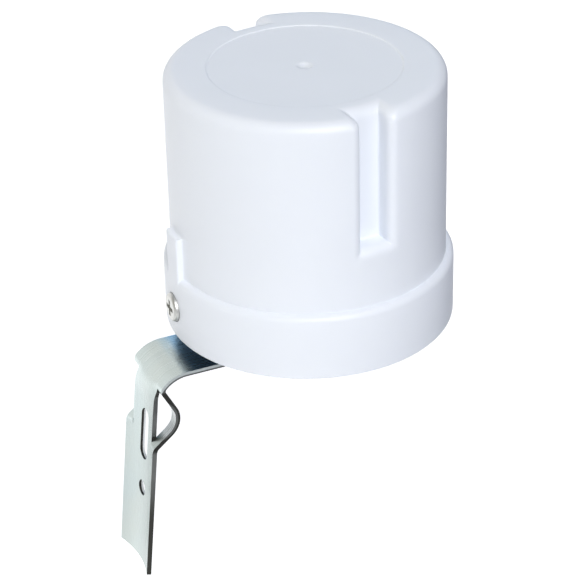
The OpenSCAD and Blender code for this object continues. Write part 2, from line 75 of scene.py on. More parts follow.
# Steps along a quarter turn of small and large roundings, and spacing of the plain columns
SMALL_STEPS = 4
ROUND_STEPS = 8
PLAIN_STEP = math.radians(4)

# Half angles that a groove's and a rib's own columns take up
GROOVE_CLEAR = math.radians(30)
RIB_CLEAR = math.radians(11)

# Shares of the way from the rim to the disc, shares of the dimple's radius from its edge to its
# middle, and the radius of the flat ring round it as a share of its own
RIM_SHARES = (1 / 3, 2 / 3, 1)
DIMPLE_SHARES = (1, 0.85, 0.65, 0.4, 0)
DIMPLE_RING = 1.2

# Rows of the bracket's strip along each stretch; a bridge has as many as the middle beside it
TAIL_ROWS = 10
BEND_ROWS = 16
MIDDLE_BEND_ROWS = 10
MIDDLE_LEG_ROWS = 20
FILLET_ROWS = 6
LIMB_ROWS = 4
BELLY_ROWS = 10
LOWER_ROWS = 20

# Columns across the strip's middle and across a bridge
MIDDLE_COLUMNS = 16
BRIDGE_COLUMNS = 4

# Gap that is welded, sides of a cutting rod, and its length in thicknesses of the cap and the strip
WELD_GAP = 0.002 * MM
ROD_SIDES = 64
ROD_WALLS = 4
ROD_STRIPS = 8

# Angles past which an edge stays sharp or is rounded off
CAP_CREASE = math.radians(40)
STRIP_CREASE = math.radians(35)
CUT_EDGE = math.radians(40)

# A column has its heading, its distance beside that, the depth of the groove and the height of the
# rib there, its share of a groove's flare, and its turn from the heading at the brim of the disc
Column = namedtuple("Column", "heading side groove rib flare brim", defaults=[0.0] * 5)
Level = namedtuple("Level", "radius height groove rib flare", defaults=[0.0] * 3)

# A row of the strip has its place and outward direction, and its shares of the trough and of the drag
Row = namedtuple("Row", "point out sink drag", defaults=[0.0] * 2)


def length(name, text, millimetres):
    """A size in the sidebar, given here in millimetres."""
    return bpy.props.FloatProperty(
        name=name, description=text, default=millimetres * MM, subtype="DISTANCE", precision=5
    )


def turn(name, text, degrees):
    """An angle in the sidebar, given here in degrees."""
    return bpy.props.FloatProperty(
        name=name, description=text, default=math.radians(degrees), subtype="ANGLE"
    )


def tint(name, text, red, green, housing_reflection):
    """A colour in the sidebar."""
    return bpy.props.FloatVectorProperty(
        name=name, description=text, default=(red, green, housing_reflection), subtype="COLOR", min=0, max=1
    )


def position(name, text, x, y, z):
    """A place in the sidebar."""
    return bpy.props.FloatVectorProperty(
        name=name, description=text, default=(x, y, z), subtype="TRANSLATION"
    )


def amount(name, text, value, unit):
    """A plain number in the sidebar."""
    return bpy.props.FloatProperty(name=name, description=text, default=value, unit=unit)


class PhotocellCapSizes(bpy.types.PropertyGroup):
    """Sizes of the cap."""

    wall_radius: length("Wall radius", "Outer radius of the cap's wall", 35)
    skirt_radius: length("Skirt radius", "Outer radius of the skirt", (CAP_HIGH.x - CAP_LOW.x) / 2 / MM)
    height: length("Height", "Height above the skirt's lower edge", (CAP_HIGH.z - CAP_LOW.z) / MM)
    wall: length("Wall", "Thickness of the wall", 2)
    rim: length("Rim", "Rounding of the top edge", 3)
    skirt_height: length("Skirt height", "Height of the skirt", 17.6)
    shoulder: length("Shoulder", "Rounding of the skirt's shoulder", 1.8)
    foot: length("Foot", "Rounding of the skirt's lower edge", 0.8)
    disc_radius: length("Disc radius", "Radius of the shallow disc in the top", 24.2)
    disc_depth: length("Disc depth", "Depth of the shallow disc", 0.3)
    disc_edge: length("Disc edge", "Half the width of the soft step round the disc", 0.5)
    dimple_radius: length("Dimple radius", "Radius of the moulding dimple", 2)
    dimple_depth: length("Dimple depth", "Depth of the moulding dimple", 0.7)
    groove_width: length("Groove width", "Width of a grip groove", 7.4)
    groove_depth: length("Groove depth", "Depth of a grip groove", 5.6)
    groove_foot: length("Groove foot", "Height of a groove's lower end", 33.2)
    groove_turn: turn("Groove turn", "Turn of the grooves from square to the bracket", 4.3)
    groove_lip: length("Groove lip", "Rounding of a groove's outer edges", 2.5)
    groove_corner: length("Groove corner", "Rounding of a groove's inner corners", 0.5)
    rib_width: length("Rib width", "Width of the rib over a side screw", 7.2)
    rib_top: length("Rib top", "Height of the rib's top", 29)
    rib_edge: length("Rib edge", "Rounding of the rib's edges", 0.6)
    rib_foot: length("Rib foot", "Hollow rounding where the rib meets the wall", 0.6)
    screw_turn: turn("Screw turn", "Turn of the side screws from the bracket", -2)
    screw_height: length("Screw height", "Height of the side screws", 8.3)
    seat_radius: length("Seat radius", "Radius of a side screw's seat", 3.9)
    seat_depth: length("Seat depth", "Depth of a side screw's seat", 0.8)
    screw_hole: length("Screw hole", "Radius of a side screw's hole", 1.9)


class PhotocellBracketSizes(bpy.types.PropertyGroup):
    """Sizes of the bracket."""

    width: length("Width", "Width of the strip", 18.6)
    thickness: length("Thickness", "Thickness of the strip", 1.2)
    drop: length("Drop", "Gap between the skirt's lower edge and the strip", 4.8)
    tail: length("Tail", "Length of the strip past the housing's axis", 13)
    bend_start: length("Bend start", "Distance from the housing's axis to the bend", 38.2)
    bend_radius: length("Bend radius", "Outer radius of the bend", 9.3)
    lean: turn("Lean", "Outward lean of the leg", 5.6)
    leg: length("Leg", "Length of the leg below the bend", 50)
    trough: length("Trough", "Depth of the trough along the leg", 1.5)
    trough_run: length("Trough run", "Distance below the bend where the trough is deepest", 5)
    drag: length("Drag", "How far the slits' edges are dragged back at their upper ends", 1)
    drag_run: length("Drag run", "Length over which the drag begins", 3)
    bridge_width: length("Bridge width", "Width of a strap bridge", 2.9)
    bridge_depth: length("Bridge depth", "How far a strap bridge bows back", 6)
    bridge_place: length("Bridge place", "Distance of the bridge's belly below the bend", 4.2)
    belly: length("Belly", "Inner radius of the bridge's belly", 5.1)
    upper_slope: turn("Upper slope", "Slope of the bridge's upper limb", 33.6)
    lower_slope: turn("Lower slope", "Slope of the bridge's lower limb", 45.5)
    upper_fillet: length("Upper fillet", "Outer radius where a bridge leaves the bend", 2)
    lower_fillet: length("Lower fillet", "Outer radius where a bridge meets the leg", 2.5)
    slot_width: length("Slot width", "Width of the bolt slot", 4.7)
    slot_length: length("Slot length", "Length of the bolt slot", 14.8)
    slot_place: length("Slot place", "Distance of the slot's top below the bend", 5.4)
    hole_radius: length("Hole radius", "Radius of the round hole", 2.1)
    hole_place: length("Hole place", "Distance of the round hole below the bend", 29)
    screw_spacing: length("Screw spacing", "Half the spacing of the bracket's screws", 7.5)
    screw_hole: length("Screw hole", "Radius of a hole for a bracket screw", 2.1)
    edge: length("Edge", "Rounding of the cut edges", 0.14)


class PhotocellColours(bpy.types.PropertyGroup):
    """Colours of the finishes."""

    cap: tint("Cap", "White moulded plastic", 0.86, 0.89, 0.95)
    zinc: tint("Zinc", "Bright zinc plating", 0.62, 0.70, 0.69)
    zinc_warm: tint("Warm zinc", "Yellowish clouds in the plating", 0.65, 0.70, 0.66)
    # Painted reflection: the bluish tone stands for the housing's shaded skirt reflected in the plating
    zinc_housing_reflection: tint("Blue zinc", "Bluish plating by the housing", 0.32, 0.53, 0.70)
    # Painted shade: a darker reflection painted along the near side of the leg
    zinc_side_shade: tint("Dull zinc", "Dull plating along one side of the leg", 0.45, 0.50, 0.48)
    # Cut-edge colours painted with light and shade: the high one is a painted highlight at the bend, the
    # low one is painted shade low down and behind the bridges' bellies and also the shorn band of punched
    # walls
    shear_shade_and_shorn: tint("Sheared edge, low", "Cut edge of the strip at its lower end", 0.05, 0.05, 0.045)
    shear_middle: tint("Sheared edge, middle", "Cut edges at the strap bridges", 0.16, 0.165, 0.16)
    shear_lit: tint("Sheared edge, high", "Cut edge of the strip at its bend", 0.72, 0.77, 0.75)
    # Also used for a painted reflection: pale, less metallic plating on the bridges' bellies
    torn: tint("Torn metal", "Torn back of a punched wall, far edges and milky plating", 0.86, 0.88, 0.88)
    nickel: tint("Nickel", "Nickel plated screws", 0.78, 0.78, 0.75)
    black: tint("Black", "Black moulded base", 0.009, 0.017, 0.028)
    rubber: tint("Rubber", "Seal and grommet", 0.02, 0.02, 0.02)
    board: tint("Board", "Solder mask of the circuit board", 0.02, 0.11, 0.04)
    tin: tint("Tin", "Tinned leads", 0.7, 0.7, 0.68)
    floor: tint("Floor", "Studio floor", 0.9, 0.9, 0.9)
    floor_right: tint("Floor, right", "Dim right side of the floor", 0.2, 0.21, 0.25)
    sky_left: tint("Sky, left", "Soft light from the left", 0.27, 0.26, 0.21)
    sky_middle: tint("Sky, middle", "Soft light from above and in front", 0.26, 0.27, 0.29)
    sky_right: tint("Sky, right", "Soft light from the right", 0.24, 0.25, 0.3)
    backdrop_left: tint("Backdrop, left", "Left half of the lit backdrop", 1.0, 1.0, 1.0)
    backdrop_right: tint("Backdrop, right", "Right half of the lit backdrop", 0.55, 0.72, 0.9)
    key: tint("Key light", "Large soft light in front of the object", 0.97, 0.98, 1.0)


class PhotocellStageSizes(bpy.types.PropertyGroup):
    """Places of the camera, the floor and the light."""

    camera_place: position("Camera place", "Where the camera stands", -0.17144, -0.49075, 0.35220)
    camera_target: position("Camera target", "What the camera looks at", 0.043896, 0.002139, 0.047264)
    camera_roll: turn("Camera roll", "Turn of the camera about its own line of sight", -1.46)
    lens: amount("Lens", "Focal length in millimetres", 149.74, "CAMERA")
    floor_gap: length("Floor gap", "Height of the bracket's end above the floor", 60)
    floor_size: length("Floor size", "Side of the floor", 8000)
    key_place: position("Key place", "Where the key light stands", -0.28, -2.0, 1.65)
    key_size: length("Key size", "Side of the square key light", 1400)
    key_power: amount("Key power", "Power of the key light in watts", 53.0, "POWER")


def spread(start, end, steps):
    """Evenly spaced numbers from one to another."""
    return [start + (end - start) * step / steps for step in range(steps + 1)]


def rounding(centre, start, end, steps):
    """Points of a quarter turn about a centre, from one of its arms to the other."""
    points = []
    for bend in spread(0.0, math.pi / 2, steps):
        arms = zip(centre, start, end)
        points.append([at + first * math.cos(bend) + last * math.sin(bend) for at, first, last in arms])
    return points


def pick_only(piece):
    """Selects one object and makes it active."""
    bpy.ops.object.select_all(action="DESELECT")
    piece.select_set(True)
    bpy.context.view_layer.objects.active = piece


def edit_whole(piece, step, **settings):
    """Runs one editing step on the whole of a mesh."""
    pick_only(piece)
    bpy.ops.object.mode_set(mode="EDIT")
    bpy.ops.mesh.select_all(action="SELECT")
    step(**settings)
    bpy.ops.object.mode_set(mode="OBJECT")


def grid_sheet(name, rows):
    """Adds a grid and moves its points to the given rows."""
    across = len(rows[0]) - 1
    along = len(rows) - 1
    bpy.ops.mesh.primitive_grid_add(x_subdivisions=across, y_subdivisions=along, size=1)
    sheet = bpy.context.object
    sheet.name = name
    sheet.data.name = name
    for point in sheet.data.vertices:
        column = round((point.co.x + 0.5) * across)
        row = round((point.co.y + 0.5) * along)
        point.co = rows[row][column]
    return sheet


def weld(piece):
    """Joins points that meet."""
    edit_whole(piece, bpy.ops.mesh.remove_doubles, threshold=WELD_GAP)


def face_out(piece):
    """Turns every face of a closed mesh outwards."""
    edit_whole(piece, bpy.ops.mesh.normals_make_consistent, inside=False)


def apply_modifier(piece, kind, **settings):
    """Adds a modifier, sets it and applies it."""
    pick_only(piece)
    modifier = piece.modifiers.new(kind.lower(), kind)
    for name, value in settings.items():
        setattr(modifier, name, value)
    bpy.ops.object.modifier_apply(modifier=modifier.name)


def cut_away(piece, cutters):
    """Cuts the given shapes out of a piece, with its last finish on the cut walls."""
    for cutter in cutters:
        for finish in piece.data.materials:
            cutter.data.materials.append(finish)
        for face in cutter.data.polygons:
            face.material_index = len(piece.data.materials) - 1
        apply_modifier(piece, "BOOLEAN", operation="DIFFERENCE", object=cutter, solver="EXACT")
        bpy.data.objects.remove(cutter)


def rod(radius, depth, place, direction):
    """Adds a plain cylinder along a direction, for cutting."""
    facing = direction.to_track_quat("Z", "Y").to_euler()
    bpy.ops.mesh.primitive_cylinder_add(
        vertices=ROD_SIDES, radius=radius, depth=depth, location=place, rotation=facing
    )
    return bpy.context.object


def show_piece(piece, node, crease):
    """Puts a finished piece in place of a node."""
    pick_only(piece)
    bpy.ops.object.transform_apply(location=True, rotation=True, scale=True)
    bpy.ops.object.shade_smooth_by_angle(angle=crease)
    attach(piece, BODY)
    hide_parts(node)


def brim_radius(sizes):
    """Radius where the top's shallow disc begins to sink."""
    return sizes.disc_radius + sizes.disc_edge


def mirrored(near):
    """Columns on both sides of a heading, from those on one side."""
    far = [column._replace(side=-column.side, brim=-column.brim) for column in reversed(near[1:])]
    return far + near


def step_line(at, height, edge, foot, steps):
    """Section of a step down to nothing: its rounded edge and the opposite rounding at its foot."""
    line = rounding((at - edge, height - edge), (0, edge), (edge, 0), steps)
    return line + rounding((at + foot, foot), (-foot, 0), (0, -foot), steps)


def groove_columns(sizes, heading):
    """Columns of the cap across one grip groove and the wall beside it."""
    half = sizes.groove_width / 2
    lip = sizes.groove_lip
    corner = sizes.groove_corner
    floor = sizes.groove_depth
    flat = [(0.0, floor), ((half - corner) / 2, floor)]
    near = []
    for side, depth in flat + step_line(half, floor, corner, lip, ROUND_STEPS):
        flare = min(1.0, side / half)
        brim = math.asin((side + flare * lip) / brim_radius(sizes))
        near.append(Column(heading, side, groove=depth, flare=flare, brim=brim))
    edge = math.asin((half + lip) / sizes.wall_radius)
    edge_brim = near[-1].brim
    for step in range(1, SMALL_STEPS):
        share = step / SMALL_STEPS
        side = sizes.wall_radius * math.sin(edge + (GROOVE_CLEAR - edge) * share)
        near.append(Column(heading, side, brim=edge_brim + (GROOVE_CLEAR - edge_brim) * share))
    return mirrored(near)


def rib_columns(sizes, heading):
    """Columns of the cap across one rib."""
    half = sizes.rib_width / 2
    edge = sizes.rib_edge
    rise = sizes.skirt_radius - sizes.wall_radius
    flat = [(0.0, rise), ((half - edge) / 2, rise)]
    near = []
    for side, height in flat + step_line(half, rise, edge, sizes.rib_foot, SMALL_STEPS):
        near.append(Column(heading, side, rib=height, brim=math.asin(side / sizes.wall_radius)))
    return mirrored(near)


def cap_columns(sizes):
    """All columns round the cap: ribs, grooves and the plain wall between them."""
    features = []
    for half_turn in (0, math.pi):
        rib = half_turn + sizes.screw_turn
        groove = half_turn + math.pi / 2 + sizes.groove_turn
        features.append((rib, RIB_CLEAR, rib_columns(sizes, rib)))
        features.append((groove, GROOVE_CLEAR, groove_columns(sizes, groove)))
    columns = []
    for number, (heading, clear, group) in enumerate(features):
        following, next_clear, _ = features[(number + 1) % len(features)]
        if following < heading:
            following += 2 * math.pi
        first = heading + clear
        span = following - next_clear - first
        steps = max(1, round(span / PLAIN_STEP))
        columns += group
        columns += [Column(plain) for plain in spread(first, first + span, steps)]
    return columns


def inner_levels(sizes):
    """Levels of the cap's inside, from the top down to the foot."""
    wall = sizes.wall
    inner = sizes.wall_radius - wall
    bore = sizes.skirt_radius - wall
    rim = sizes.rim - wall
    under = sizes.groove_foot - wall
    ledge = sizes.skirt_height - wall
    top = rounding((inner - rim, sizes.height - wall - rim), (0, rim), (rim, 0), SMALL_STEPS)
    levels = [Level(*point, sizes.groove_depth, flare=wall) for point in top + [(inner, under)]]
    for point in ((inner, under), (inner, ledge), (bore, ledge), (bore, sizes.foot / 2)):
        levels.append(Level(*point, flare=wall))
    levels.append(Level(bore + sizes.foot / 2, 0.0))
    return levels


def outer_levels(sizes):
    """Levels of the cap's outside, from the foot up to the rim."""
    outer = sizes.wall_radius
    skirt = sizes.skirt_radius
    skirt_top = sizes.skirt_height
    deep = sizes.groove_depth
    rise = skirt - outer
    foot = sizes.foot
    shoulder = sizes.shoulder
    neck = skirt - shoulder - outer
    lip = sizes.groove_lip
    corner = sizes.groove_corner
    rim = sizes.rim
    turned = rounding((skirt - foot, foot), (0, -foot), (foot, 0), SMALL_STEPS)
    levels = [Level(*point) for point in turned]
    turned = rounding((skirt - shoulder, skirt_top - shoulder), (shoulder, 0), (0, shoulder), ROUND_STEPS)
    turned += rounding((outer + neck, skirt_top + neck), (0, -neck), (-neck, 0), SMALL_STEPS)
    levels += [Level(*point, rib=rise) for point in turned]
    turned = step_line(sizes.rib_top, rise, sizes.rib_edge, sizes.rib_foot, SMALL_STEPS)
    levels += [Level(outer, height, rib=rib) for height, rib in turned]
    turned = rounding((sizes.groove_foot - lip, lip), (0, -lip), (lip, 0), ROUND_STEPS)
    turned += rounding((sizes.groove_foot + corner, deep - corner), (-corner, 0), (0, corner), ROUND_STEPS)
    levels += [Level(outer, height, groove) for height, groove in turned]
    for radius, height in rounding((outer - rim, sizes.height - rim), (rim, 0), (0, rim), ROUND_STEPS):
        above = min(lip, max(0.0, lip + height - sizes.height))
        levels.append(Level(radius, height, deep, flare=lip - math.sqrt(lip ** 2 - above ** 2)))
    return levels


def soft_max(first, second, blend):
    """Larger of two values, rounded where they are nearly equal."""
    near = max(blend - abs(first - second), 0.0) / blend
    return max(first, second) + near ** 2 * blend / 4


def outline_ring(sizes, columns, level):
    """Points round the cap at one level, with grooves and ribs."""
    ring = []
    for column in columns:
        radius = level.radius
        rise = min(column.rib, level.rib)
        if rise > 0:
            radius = min(sizes.skirt_radius, soft_max(radius, sizes.wall_radius + rise, sizes.rib_foot))
        side = column.side + math.copysign(column.flare * level.flare, column.side)
        out = math.sqrt(radius ** 2 - side ** 2) - min(column.groove, level.groove)
        across = Matrix.Rotation(column.heading, 3, "Z") @ Vector((out, side, level.height))
        ring.append(HOUSING + across)
    return ring


def round_ring(columns, radius, height):
    """Points on a plain circle in the top."""
    ring = []
    for column in columns:
        heading = column.heading + column.brim
        ring.append(HOUSING + Vector((radius * math.cos(heading), radius * math.sin(heading), height)))
    return ring


def cap_rows(sizes):
    """Rows of points over the whole cap, from the middle of the inner top to that of the outer one."""
    columns = cap_columns(sizes)
    inner_reach = sizes.wall_radius - sizes.groove_depth - 2 * sizes.wall
    rows = [round_ring(columns, radius, sizes.height - sizes.wall) for radius in (0.0, inner_reach)]
    rows += [outline_ring(sizes, columns, level) for level in inner_levels(sizes) + outer_levels(sizes)]
    brim = round_ring(columns, brim_radius(sizes), sizes.height)
    rim_row = rows[-1]
    for share in RIM_SHARES:
        rows.append([start.lerp(end, share) for start, end in zip(rim_row, brim)])
    edge = sizes.disc_edge
    step = sizes.disc_depth / 2
    halfway = sizes.height - step
    disc_top = sizes.height - sizes.disc_depth
    line = rounding((sizes.disc_radius + edge, halfway), (0, step), (-edge, 0), SMALL_STEPS)[1:]
    line += rounding((sizes.disc_radius - edge, halfway), (edge, 0), (0, -step), SMALL_STEPS)[1:]
    line += [(sizes.disc_radius / 2, disc_top), (sizes.dimple_radius * DIMPLE_RING, disc_top)]
    for share in DIMPLE_SHARES:
        line.append((sizes.dimple_radius * share, disc_top - sizes.dimple_depth * (1 - share ** 2)))
    rows += [round_ring(columns, radius, height) for radius, height in line]
    return [row + [row[0]] for row in rows]


class PHOTOCELL_OT_cap(bpy.types.Operator):
    """Models the cap with its skirt, ribs, grip grooves, shallow disc and screw seats"""

    bl_idname = "photocell.cap"
    bl_label = "Cap"

    def execute(self, context):
        sizes = context.scene.photocell_cap
        cap = grid_sheet("cap_shell", cap_rows(sizes))
        weld(cap)
        face_out(cap)
        cutters = []
        for half_turn in (0, math.pi):
            heading = half_turn + sizes.screw_turn
            out = Vector((math.cos(heading), math.sin(heading), 0))
            place = HOUSING + Vector((0, 0, sizes.screw_height))
            reach = sizes.skirt_radius - sizes.seat_depth
            seat = place + out * (reach + sizes.wall / 2)
            cutters.append(rod(sizes.seat_radius, sizes.wall, seat, out))
            cutters.append(rod(sizes.screw_hole, ROD_WALLS * sizes.wall, place + out * reach, out))
        cap.data.materials.append(white_plastic(context.scene.photocell_colours))
        cut_away(cap, cutters)
        show_piece(cap, "cap", CAP_CREASE)
        return {"FINISHED"}


def in_frame(spot, across=0.0):
    """Vector in the part's frame, from one in the strip's plane."""
    return Vector((-spot.x, across, spot.y))


def arc_points(centre, radius, start, end, steps):
    """Points and outward directions along an arc in the strip's plane."""
    points = []
    for bend in spread(start, end, steps):
        out = Vector((math.cos(bend), math.sin(bend)))
        points.append((centre + out * radius, out))
    return points


def line_points(start, end, out, steps):
    """Points along a straight stretch, each with the same outward direction."""
    return [(start.lerp(end, step / steps), out) for step in range(steps + 1)]


class StripPath:
    """Line of the bracket's outer face: outward distance from the housing's axis, then height."""

    def __init__(self, sizes):
        self.sizes = sizes
        lean = sizes.lean
        self.out = Vector((math.cos(lean), math.sin(lean)))
        self.down = Vector((math.sin(lean), -math.cos(lean)))
        self.centre = Vector((sizes.bend_start, -sizes.drop - sizes.bend_radius))
        self.leg_top = self.centre + self.out * sizes.bend_radius
        self.bridge()

    def on_leg(self, out, down):
        """Point given by its distance out of the leg's face and down the leg."""
        return self.leg_top + self.out * out + self.down * down

    def bridge(self):
        """Works out where a bridge leaves the bend and meets the leg, with a fillet at each end."""
        sizes = self.sizes
        self.belly_at = self.on_leg(sizes.belly - sizes.bridge_depth, sizes.bridge_place)
        upper_back = self.turned(math.pi - sizes.upper_slope)
        upper_way = self.turned(math.pi / 2 - sizes.upper_slope)
        reach = sizes.bend_radius - sizes.upper_fillet
        start = self.belly_at + upper_back * (sizes.belly + sizes.upper_fillet) - self.centre
        half = start.dot(upper_way)
        leaving = start + upper_way * (math.sqrt(half ** 2 - start.dot(start) + reach ** 2) - half)
        self.slit_angle = math.atan2(leaving.y, leaving.x)
        self.upper_centre = self.centre + leaving
        lower_back = self.turned(math.pi + sizes.lower_slope)
        lower_way = self.turned(sizes.lower_slope - math.pi / 2)
        start = self.belly_at + lower_back * (sizes.belly + sizes.lower_fillet)
        sunk = (start - self.leg_top).dot(self.out) + sizes.lower_fillet
        self.lower_centre = start - lower_way * (sunk / lower_way.dot(self.out))
        self.slit_length = (self.lower_centre - self.leg_top).dot(self.down)

    def turned(self, angle):
        """Direction at an angle from straight out of the leg."""
        return self.out * math.cos(angle) + Vector((-self.out.y, self.out.x)) * math.sin(angle)

    def upper_rows(self):
        """Flat tail and the bend down to the slits."""
        sizes = self.sizes
        up = Vector((0, 1))
        end = Vector((sizes.bend_start, -sizes.drop))
        tail = line_points(Vector((-sizes.tail, -sizes.drop)), end, up, TAIL_ROWS)
        bend = arc_points(self.centre, sizes.bend_radius, math.pi / 2, self.slit_angle, BEND_ROWS)
        return [Row(point, out) for point, out in tail + bend[1:]]

    def middle_rows(self):
        """Middle of the strip between the ends of the slits."""
        sizes = self.sizes
        bend = arc_points(self.centre, sizes.bend_radius, self.slit_angle, sizes.lean, MIDDLE_BEND_ROWS)
        leg = line_points(self.leg_top, self.on_leg(0, self.slit_length), self.out, MIDDLE_LEG_ROWS)
        full = sizes.bend_radius * (self.slit_angle - sizes.lean) + sizes.trough_run
        run = 0.0
        last = bend[0][0]
        rows = []
        for point, out in bend[1:] + leg[1:]:
            run += (point - last).length
            last = point
            sink = smooth_share(run / full)
            rows.append(Row(point, out, sink, smooth_share(run / sizes.drag_run) * (1 - sink)))
        return rows

    def bridge_rows(self):
        """Strap bridge between the ends of the slits, sunk into the trough over its lower fillet."""
        sizes = self.sizes
        upper = sizes.lean - sizes.upper_slope
        lower = sizes.lean + sizes.lower_slope
        leave = arc_points(self.upper_centre, sizes.upper_fillet, self.slit_angle, upper, FILLET_ROWS)
        belly = arc_points(self.belly_at, sizes.belly, upper + math.pi, lower + math.pi, BELLY_ROWS)
        belly = [(point, -out) for point, out in belly]
        meet = arc_points(self.lower_centre, sizes.lower_fillet, lower, sizes.lean, FILLET_ROWS)
        upper_limb = line_points(leave[-1][0], belly[0][0], belly[0][1], LIMB_ROWS)
        lower_limb = line_points(belly[-1][0], meet[0][0], belly[-1][1], LIMB_ROWS)
        plain = leave[1:] + upper_limb[1:] + belly[1:] + lower_limb[1:]
        rows = [Row(point, out) for point, out in plain]
        for step, (point, out) in enumerate(meet[1:], 1):
            rows.append(Row(point, out, smooth_share(step / FILLET_ROWS)))
        return rows

    def lower_rows(self):
        """Leg below the slits."""
        leg = line_points(
            self.on_leg(0, self.slit_length), self.on_leg(0, self.sizes.leg), self.out, LOWER_ROWS
        )
        return [Row(point, out, 1.0) for point, out in leg[1:]]


def smooth_share(value):
    """Runs smoothly from 0 to 1."""
    share = min(1.0, max(0.0, value))
    return share * share * (3 - 2 * share)


def strip_point(sizes, row, across):
    """Point of the strip's face, sunk in the trough and dragged back by the slits."""
    trough = sizes.trough * row.sink * (1 - (2 * across / sizes.width) ** 2)
    drag = sizes.drag * row.drag * abs(across / (sizes.width / 2 - sizes.bridge_width)) ** 3
    return HOUSING + in_frame(row.point - row.out * (trough + drag), across)


def strip_band(name, sizes, rows, sides):
    """One lengthwise band of the strip."""
    return grid_sheet(name, [[strip_point(sizes, row, side) for side in sides] for row in rows])


def leg_cutters(path):
    """Shapes that cut the slot, the round hole and the screw holes."""
    sizes = path.sizes
    through = ROD_STRIPS * sizes.thickness
    out = in_frame(path.out)
    half = sizes.slot_width / 2
    ends = (sizes.slot_place + half, sizes.slot_place + sizes.slot_length - half)

    def place(down):
        return HOUSING + in_frame(path.on_leg(-sizes.trough, down))

    cutters = [rod(half, through, place(end), out) for end in ends]
    cutters.append(rod(sizes.hole_radius, through, place(sizes.hole_place), out))
    for side in (-1, 1):
        below = HOUSING + Vector((side * sizes.screw_spacing, 0, -sizes.drop))
        cutters.append(rod(sizes.screw_hole, through, below, Vector((0, 0, 1))))
    bpy.ops.mesh.primitive_cube_add(
        size=1, location=place(sum(ends) / 2), rotation=out.to_track_quat("Z", "Y").to_euler(),
        scale=(sizes.slot_width, ends[1] - ends[0], through),
    )
    cutters.append(bpy.context.object)
    return cutters


class PHOTOCELL_OT_bracket(bpy.types.Operator):
    """Models the bent strip with its trough, strap bridges, slot and round hole"""

    bl_idname = "photocell.bracket"
    bl_label = "Bracket"

    def execute(self, context):
        sizes = context.scene.photocell_bracket
        path = StripPath(sizes)
        inner = sizes.width / 2 - sizes.bridge_width
        middle_sides = spread(-inner, inner, MIDDLE_COLUMNS)
        edge_sides = spread(inner, sizes.width / 2, BRIDGE_COLUMNS)
        upper = path.upper_rows()
        lower = path.lower_rows()
        strip = strip_band("bracket_strip", sizes, upper + path.middle_rows() + lower, middle_sides)
        bands = []
        for sides in (edge_sides, [-side for side in reversed(edge_sides)]):
            bands.append(strip_band("bracket_band", sizes, upper + path.bridge_rows() + lower, sides))
        pick_only(strip)
        for band in bands:
            band.select_set(True)
        bpy.ops.object.join()
        weld(strip)
        for finish in (zinc_plating, sheared_zinc, pierced_zinc):
            strip.data.materials.append(finish(context.scene.photocell_colours, path))
        apply_modifier(
            strip, "SOLIDIFY", thickness=sizes.thickness, offset=-1.0, use_even_offset=True,
            use_quality_normals=True, material_offset_rim=1,
        )
        face_out(strip)
        cut_away(strip, leg_cutters(path))
        apply_modifier(
            strip, "BEVEL", width=sizes.edge, segments=2, limit_method="ANGLE", angle_limit=CUT_EDGE
        )
        show_piece(strip, "bracket", STRIP_CREASE)
        return {"FINISHED"}


# Middle of the noise, which a finish's range is spread over
NOISE_LOW = 0.3
NOISE_HIGH = 0.7

# Sockets of a Mix node that hold colours
MIX_FIRST = 6
MIX_SECOND = 7
MIX_RESULT = 2


class Shading:
    """A node tree that is filled step by step."""

    def __init__(self, owner, coordinates):
        owner.use_nodes = True
        self.nodes = owner.node_tree.nodes
        self.links = owner.node_tree.links
        self.place = self.nodes.new("ShaderNodeTexCoord").outputs[coordinates]

    def node(self, kind, settings=(), **inputs):
        """Adds a node, sets it and links or fills its sockets."""
        made = self.nodes.new("ShaderNode" + kind)
        for name, value in dict(settings).items():
            setattr(made, name, value)
        for name, value in inputs.items():
            self.fill(made.inputs[name.replace("_", " ")], value)
        return made

    def fill(self, socket, value):
        """Links a socket, or sets it."""
        if isinstance(value, bpy.types.NodeSocket):
            self.links.new(value, socket)
        else:
            socket.default_value = value

    def axes(self):
        """Coordinates along X, Y and Z."""
        return self.node("SeparateXYZ", Vector=self.place).outputs

    def stretched(self, *scale):
        """Coordinates scaled along each axis."""
        return self.node("Mapping", Vector=self.place, Scale=scale).outputs["Vector"]

    def noise(self, scale, detail=3.0, where=None):
        """Noise from 0 to 1."""
        made = self.node("TexNoise", Vector=where or self.place, Scale=scale, Detail=detail)
        return made.outputs["Fac"]

    def between(self, share, low, high):
        """Number that runs from low to high over the middle of the noise."""
        made = self.node(
            "MapRange", Value=share, From_Min=NOISE_LOW, From_Max=NOISE_HIGH, To_Min=low, To_Max=high
        )
        return made.outputs["Result"]

    def ramp(self, value, stretch, origin=0.0, most=1.0):
        """Number that runs smoothly from 0 to its most over a stretch, measured from an origin."""
        start, end = stretch
        made = self.node(
            "MapRange", {"interpolation_type": "SMOOTHSTEP"}, Value=value,
            From_Min=origin + start, From_Max=origin + end, To_Min=0.0, To_Max=most,
        )
        return made.outputs["Result"]

    def blend(self, share, first, second):
        """Colour between two colours."""
        made = self.node("Mix", {"data_type": "RGBA"}, Factor=share)
        self.fill(made.inputs[MIX_FIRST], self.opaque(first))
        self.fill(made.inputs[MIX_SECOND], self.opaque(second))
        return made.outputs[MIX_RESULT]

    def mottled(self, share, colour, factor):
        """Colour that varies from its own tone to a lighter or darker one."""
        return self.blend(share, colour, [min(1.0, part * factor) for part in colour])

    def opaque(self, value):
        """Colour with its fourth number."""
        if isinstance(value, bpy.types.NodeSocket):
            return value
        return tuple(value) + (1.0,)

    def maths(self, operation, *values, kind="Math"):
        """Result of one sum of numbers or vectors."""
        made = self.node(kind, {"operation": operation})
        for socket, value in zip(made.inputs, values):
            self.fill(socket, value)
        return made.outputs["Value"]


